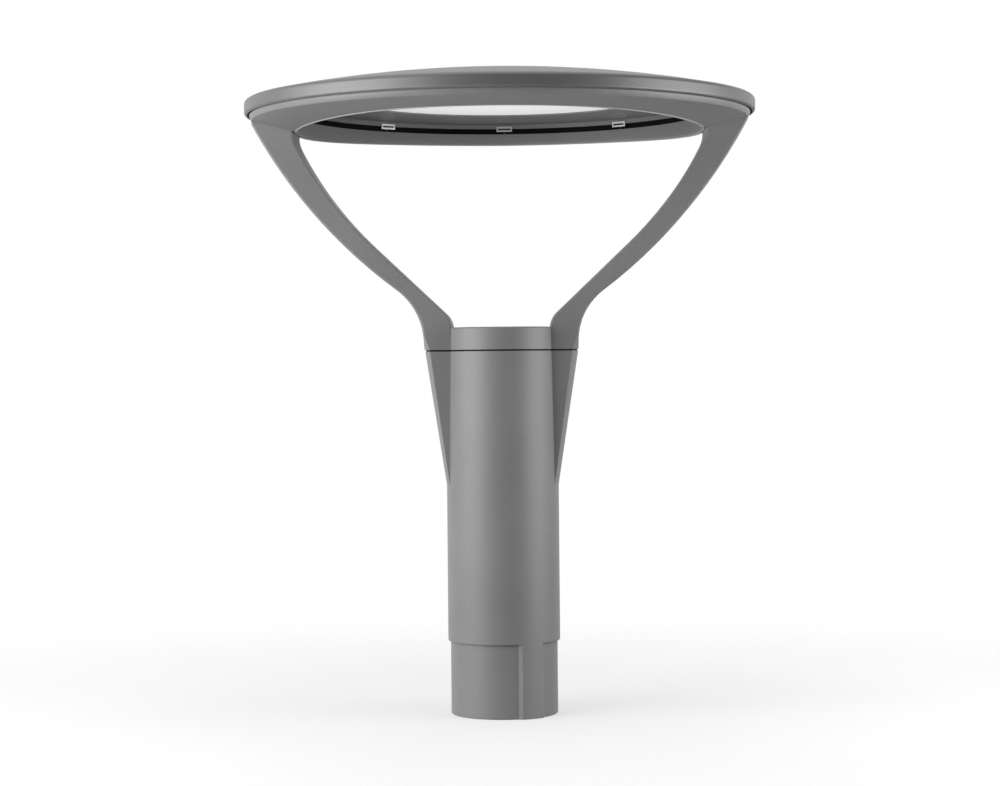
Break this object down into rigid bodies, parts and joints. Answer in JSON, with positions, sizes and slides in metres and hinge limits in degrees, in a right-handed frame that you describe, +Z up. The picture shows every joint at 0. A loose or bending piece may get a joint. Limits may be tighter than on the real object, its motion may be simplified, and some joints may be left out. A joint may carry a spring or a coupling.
{
  "type": "led post top light",
  "caption": "LED post top light: thin domed round head on curved blade arms that rise from a round gear sleeve with side fins and a keyed post spigot.",
  "frame": {"origin": "centre of the spigot lower rim, on the axis of the sleeve", "axes": "+Z up along the sleeve axis, X along the two arms, -Y towards the front of the light"},
  "size_m": [0.52, 0.52, 0.6517],
  "materials": {
    "paint": "fine satin powder coat, mid grey",
    "panel_paint": "satin powder coat on pressed sheet",
    "black_rubber": "matt black",
    "stainless": "turned stainless steel",
    "clip_steel": "bright spring steel",
    "opal": "opal acrylic",
    "bare_aluminium": "mill finish sheet",
    "board_white": "white solder mask",
    "chip": "yellow phosphor",
    "white_sheet": "white reflector paint",
    "white_plastic": "moulded white plastic",
    "driver_case": "moulded light grey case",
    "grey_plastic": "moulded dark grey case",
    "lead_sheath": "black round sheath",
    "wire_sheath": "red single wires"
  },
  "bodies": {
    "root": {"gear_sleeve": "paint", "arm_frame": "paint", "roof_cover": "paint", "panel_frame": "panel_paint", "collar_gasket": "black_rubber", "roof_gasket": "black_rubber", "panel_gasket": "black_rubber", "grommet": "black_rubber", "collar_bolts": "stainless", "roof_screws": "stainless", "board_screws": "stainless", "tray_screws": "stainless", "driver_screws": "stainless", "post_grubs": "stainless", "earth_stud": "stainless", "panel_clips": "clip_steel", "diffuser": "opal", "heat_spreader": "bare_aluminium", "gear_tray": "bare_aluminium", "light_board": "board_white", "chips": "chip", "reflector_skirt": "white_sheet", "connector_block": "white_plastic", "terminal_block": "white_plastic", "led_driver": "driver_case", "surge_protector": "grey_plastic", "lead": "lead_sheath", "board_wires": "wire_sheath"}
  },
  "joints": []
}
